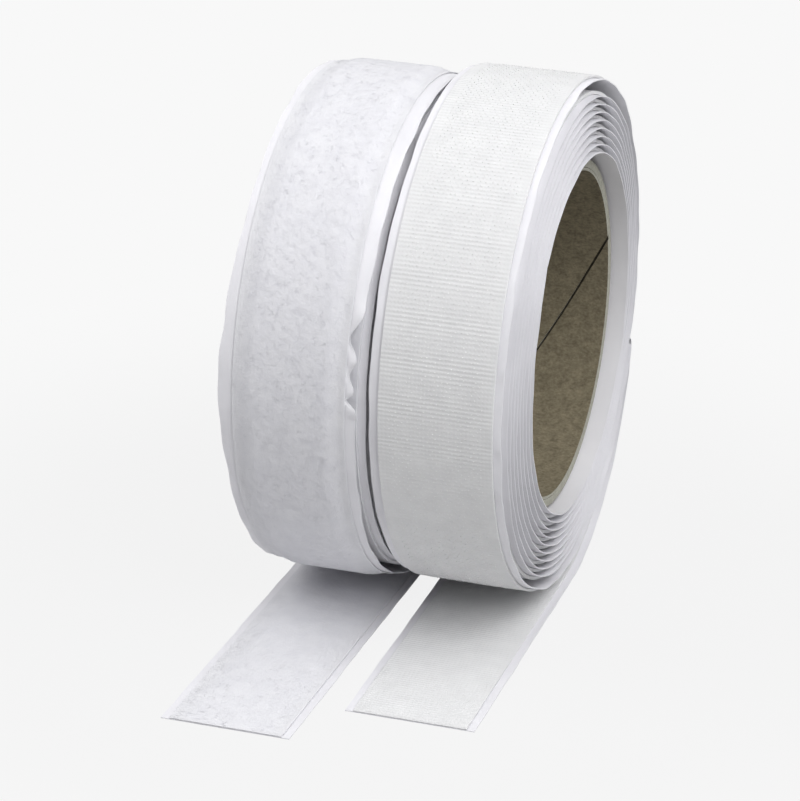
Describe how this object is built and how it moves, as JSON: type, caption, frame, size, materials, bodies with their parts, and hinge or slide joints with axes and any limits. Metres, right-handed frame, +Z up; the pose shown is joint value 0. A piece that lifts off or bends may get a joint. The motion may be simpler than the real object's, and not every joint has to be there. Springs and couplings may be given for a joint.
{
  "type": "hook and loop tape roll",
  "caption": "Pair of self-adhesive hook and loop tape rolls on cardboard cores, each with a free end on its release liner laid out in front.",
  "frame": {"origin": "on the floor, under the middle of the pair's box", "axes": "+Z up, X along the two rolls' parallel axes, free ends towards -Y"},
  "size_m": [0.052, 0.1204, 0.0954],
  "materials": {
    "cardboard": "matte",
    "liner": "satin",
    "loop_fabric": "matte",
    "hook_fabric": "matte"
  },
  "bodies": {
    "loop_free_end": {"loop_liner_outer_turn": "liner", "loop_tape_outer_turn": "loop_fabric", "loop_liner_tail": "liner", "loop_tape_tail": "loop_fabric"},
    "loop_wound_roll": {"loop_core_outer_ply": "cardboard", "loop_core_inner_ply": "cardboard", "loop_liner_winding": "liner", "loop_tape_winding": "loop_fabric"},
    "loop_tape_end": {"loop_tape_end": "loop_fabric"},
    "hook_free_end": {"hook_liner_outer_turn": "liner", "hook_tape_outer_turn": "hook_fabric", "hook_liner_tail": "liner", "hook_tape_tail": "hook_fabric"},
    "hook_wound_roll": {"hook_core_outer_ply": "cardboard", "hook_core_inner_ply": "cardboard", "hook_liner_winding": "liner", "hook_tape_winding": "hook_fabric"},
    "hook_tape_end": {"hook_tape_end": "hook_fabric"}
  },
  "joints": [
    {"name": "loop_roll_spin", "type": "hinge", "parent": "loop_free_end", "child": "loop_wound_roll", "pos_m": [-0.01234, 0.01102, 0.04829], "axis": [1, 0, 0], "continuous": true},
    {"name": "loop_tape_peel", "type": "hinge", "parent": "loop_free_end", "child": "loop_tape_end", "pos_m": [-0.0141, -0.03242, 0.0014], "axis": [-1, 0, 0], "range_deg": [0, 80]},
    {"name": "rolls_apart", "type": "slide", "parent": "loop_free_end", "child": "hook_free_end", "axis": [1, 0, 0], "range_m": [0, 0.12]},
    {"name": "hook_roll_spin", "type": "hinge", "parent": "hook_free_end", "child": "hook_wound_roll", "pos_m": [0.01306, 0.01337, 0.04894], "axis": [1, 0, 0], "continuous": true},
    {"name": "hook_tape_peel", "type": "hinge", "parent": "hook_free_end", "child": "hook_tape_end", "pos_m": [0.014, -0.03071, 0.0014], "axis": [-1, 0, 0], "range_deg": [0, 80]}
  ]
}
